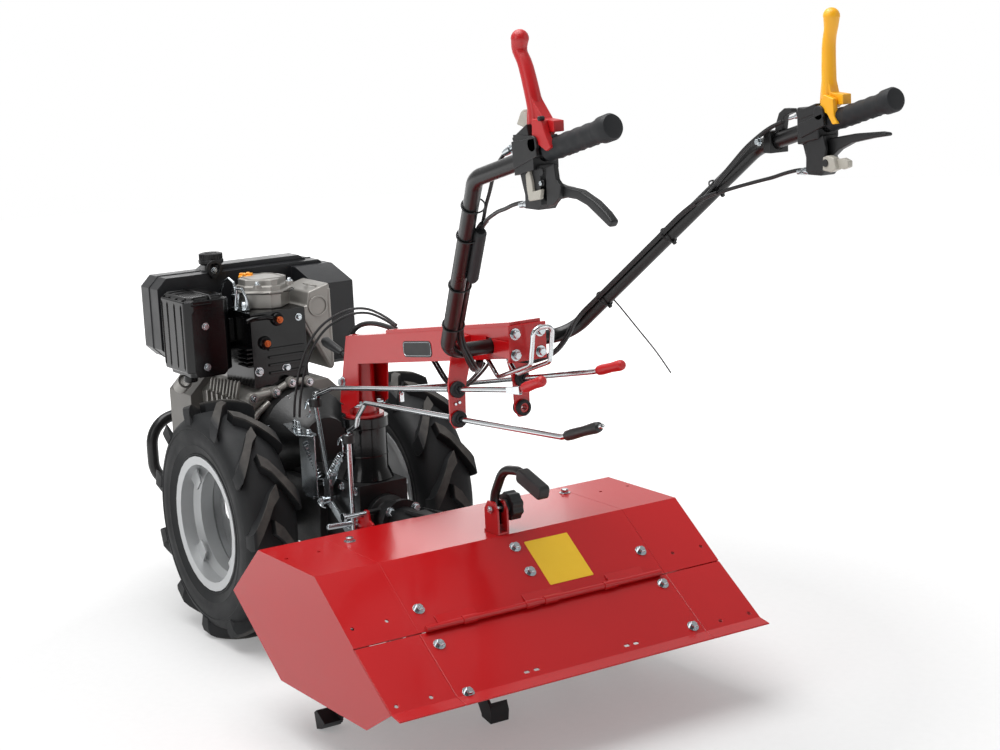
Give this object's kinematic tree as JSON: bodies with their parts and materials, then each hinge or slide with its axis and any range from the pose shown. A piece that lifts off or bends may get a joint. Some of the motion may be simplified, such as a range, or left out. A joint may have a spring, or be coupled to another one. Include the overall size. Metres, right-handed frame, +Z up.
{
  "type": "walking tractor with rear rotary tiller",
  "caption": "Two-wheel walking tractor with a diesel engine, swivelling handlebar with hand levers and rod controls, and a rear rotary tiller under a red hood.",
  "frame": {"origin": "middle of the bounding box's bottom face, on the ground", "axes": "+X forward towards the engine, +Y to the machine's left, +Z up"},
  "size_m": [2.0102, 0.781, 1.2625],
  "materials": {
    "red_paint": "gloss signal red powder coat",
    "black_paint": "satin black powder coat",
    "cast_black": "black painted castings",
    "rim_silver": "silver painted pressed steel",
    "zinc": "bright zinc plating",
    "chrome": "polished plated rod",
    "aluminium": "die-cast aluminium, as cast",
    "steel": "forged and rolled steel, worn black",
    "tyre": "black lugged farm tyre",
    "black_plastic": "grained black plastic and rubber",
    "red_plastic": "red moulded plastic",
    "yellow_plastic": "yellow moulded plastic"
  },
  "bodies": {
    "chassis": {"gearbox": "cast_black", "steering_column": "black_paint", "engine_crankcase": "aluminium", "fan_housing": "aluminium", "cylinder_shroud": "black_paint", "rocker_cover": "aluminium", "air_duct": "aluminium", "fuel_tank": "black_plastic", "fuel_cap": "black_plastic", "muffler": "black_paint", "front_guard": "black_paint", "shift_upright": "zinc", "drive_upright": "zinc", "shift_linkage": "zinc", "cable_bracket": "zinc", "coupling": "cast_black", "drive_case": "cast_black", "hood_bracket": "red_paint", "hood_centre": "red_paint", "hood_left": "red_paint", "hood_right": "red_paint", "hood_hinge": "red_paint", "depth_ears": "red_paint", "depth_lever": "black_plastic"},
    "wheel_left": {"tyre_left": "tyre", "rim_left": "rim_silver", "axle_left": "steel"},
    "wheel_right": {"tyre_right": "tyre", "rim_right": "rim_silver", "axle_right": "steel"},
    "rotor": {"rotor_left": "steel", "rotor_right": "steel"},
    "flap": {"flap_centre": "red_paint", "flap_left": "red_paint", "flap_right": "red_paint"},
    "steering_head": {"handlebar_beam": "red_paint", "handlebar_clamp": "red_paint", "release_loop": "chrome", "rod_guide_left": "red_paint", "rod_guide_right": "red_paint", "shift_rod": "chrome", "shift_handle": "red_plastic", "drive_rod": "chrome", "drive_handle": "black_plastic", "speed_rod": "chrome", "speed_handle": "red_plastic", "cables_front": "black_plastic"},
    "handlebar": {"handlebar_tube": "black_paint", "grip_left": "black_plastic", "grip_right": "black_plastic", "lever_bracket_left": "black_plastic", "lever_bracket_right": "black_plastic", "lever_red": "red_plastic", "lever_yellow": "yellow_plastic", "brake_lever_left": "black_plastic", "brake_lever_right": "black_plastic", "throttle_lever": "black_plastic", "cables_left": "black_plastic", "cables_right": "black_plastic"}
  },
  "joints": [
    {"name": "wheel_left_spin", "type": "hinge", "parent": "chassis", "child": "wheel_left", "pos_m": [0.49381, 0.207, 0.25], "axis": [0, 1, 0], "continuous": true},
    {"name": "wheel_right_spin", "type": "hinge", "parent": "chassis", "child": "wheel_right", "pos_m": [0.49381, -0.207, 0.25], "axis": [0, 1, 0], "continuous": true},
    {"name": "rotor_spin", "type": "hinge", "parent": "chassis", "child": "rotor", "pos_m": [-0.19819, 0, 0.143], "axis": [0, 1, 0], "continuous": true},
    {"name": "rear_flap", "type": "hinge", "parent": "chassis", "child": "flap", "pos_m": [-0.38497, 0, 0.24404], "axis": [0, 1, 0], "range_deg": [0, 90]},
    {"name": "handlebar_swivel", "type": "hinge", "parent": "chassis", "child": "steering_head", "pos_m": [0.25381, 0, 0.478], "axis": [0, 0, 1], "range_deg": [-20, 20]},
    {"name": "handlebar_height", "type": "hinge", "parent": "steering_head", "child": "handlebar", "pos_m": [-0.29219, 0, 0.695], "axis": [0, 1, 0], "range_deg": [-12, 12]}
  ]
}
